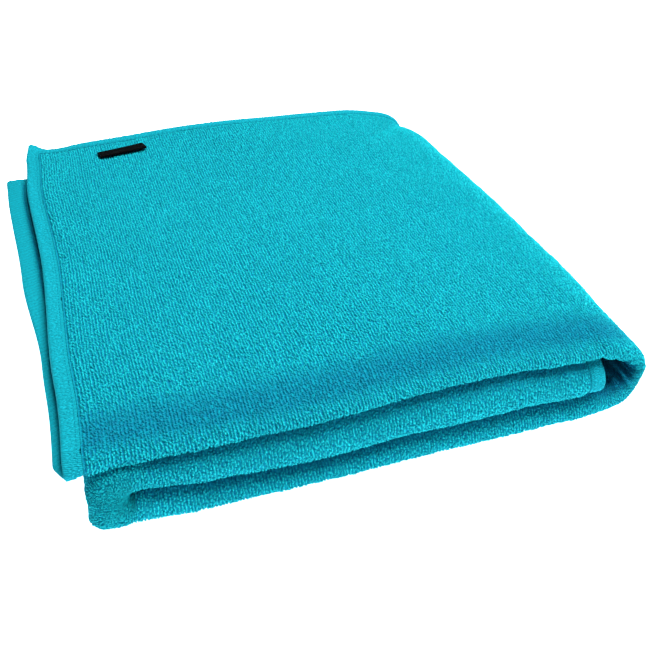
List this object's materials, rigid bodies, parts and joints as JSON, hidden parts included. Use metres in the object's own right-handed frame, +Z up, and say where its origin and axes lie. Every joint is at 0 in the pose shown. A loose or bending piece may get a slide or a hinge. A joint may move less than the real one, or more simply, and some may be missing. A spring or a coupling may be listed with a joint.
{
  "type": "folded towel",
  "caption": "Plush quick-dry terry travel towel, folded lengthwise and then in three, with hemmed edges and a small sewn-on label.",
  "frame": {"origin": "middle of the bounding box's bottom face, on the surface that the folded towel lies on", "axes": "+X to the right along the folded front edge, +Y from the front folds to the open back edges, +Z up"},
  "size_m": [0.336, 0.34, 0.0581],
  "materials": {
    "terry": "short looped pile in fine ribs, soft and matt",
    "hem": "turned and overlocked edge, flatter than the pile",
    "hem_thread": "spun polyester sewing thread",
    "label_weave": "black woven ribbon with a faint sheen",
    "label_thread": "black sewing thread"
  },
  "bodies": {
    "root": {"bottom_panel": "terry", "bottom_side_hem_inner": "hem", "bottom_side_hem_outer": "hem", "bottom_side_seam_inner": "hem_thread", "bottom_side_seam_outer": "hem_thread", "left_fold": "terry", "middle_end_hem_inner": "hem", "middle_end_hem_outer": "hem", "middle_end_seam": "hem_thread", "middle_panel": "terry", "middle_side_hem_inner": "hem", "middle_side_hem_outer": "hem", "middle_side_seam_inner": "hem_thread", "middle_side_seam_outer": "hem_thread", "right_fold_lower": "terry"},
    "flap": {"label_stitching": "label_thread", "right_fold_upper": "terry", "top_end_hem_inner": "hem", "top_end_hem_outer": "hem", "top_end_seam_inner": "hem_thread", "top_end_seam_outer": "hem_thread", "top_panel": "terry", "top_side_hem_inner": "hem", "top_side_hem_outer": "hem", "top_side_seam_inner": "hem_thread", "top_side_seam_outer": "hem_thread"},
    "label": {"label": "label_weave"}
  },
  "joints": [
    {"name": "top_panel_opening", "type": "hinge", "parent": "root", "child": "flap", "pos_m": [0.16815, 0, 0.02905], "axis": [0, 1, 0], "range_deg": [0, 180]},
    {"name": "label_flip", "type": "hinge", "parent": "flap", "child": "label", "pos_m": [-0.082, 0.144, 0.0581], "axis": [-0.9903, -0.1392, 0], "range_deg": [0, 170]}
  ]
}
